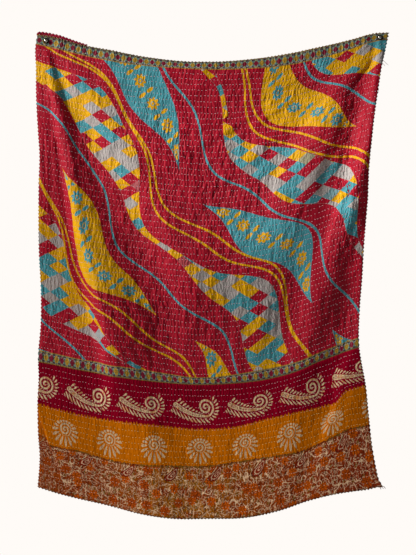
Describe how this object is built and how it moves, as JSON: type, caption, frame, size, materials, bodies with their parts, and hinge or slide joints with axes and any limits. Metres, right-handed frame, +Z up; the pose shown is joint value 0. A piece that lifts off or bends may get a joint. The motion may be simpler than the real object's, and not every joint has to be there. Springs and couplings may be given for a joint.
{
  "type": "kantha quilt on two hanging pins",
  "caption": "Hand-stitched cotton quilt of two joined panels, hung by its top corners so that it sags and folds, with a round-headed pin and cup washer at each corner.",
  "frame": {"origin": "on the wall plane, midway between the axes of the two pins", "axes": "+Z up; +X to the right seen from the front; +Y into the wall, so the quilt hangs on the -Y side and faces -Y"},
  "size_m": [1.2595, 0.111, 1.7329],
  "materials": {
    "main_cloth": "quilted printed cotton, matt",
    "strip_cloth": "quilted printed cotton, matt",
    "reverse_cloth": "plain cotton, matt",
    "pin_steel": "polished",
    "washer_brass": "blackened, satin"
  },
  "bodies": {
    "root": {"upper_panel": "main_cloth", "lower_panel": "strip_cloth", "reverse_edge": "reverse_cloth", "pin_left": "pin_steel", "pin_right": "pin_steel", "washer_left": "washer_brass", "washer_right": "washer_brass"}
  },
  "joints": []
}
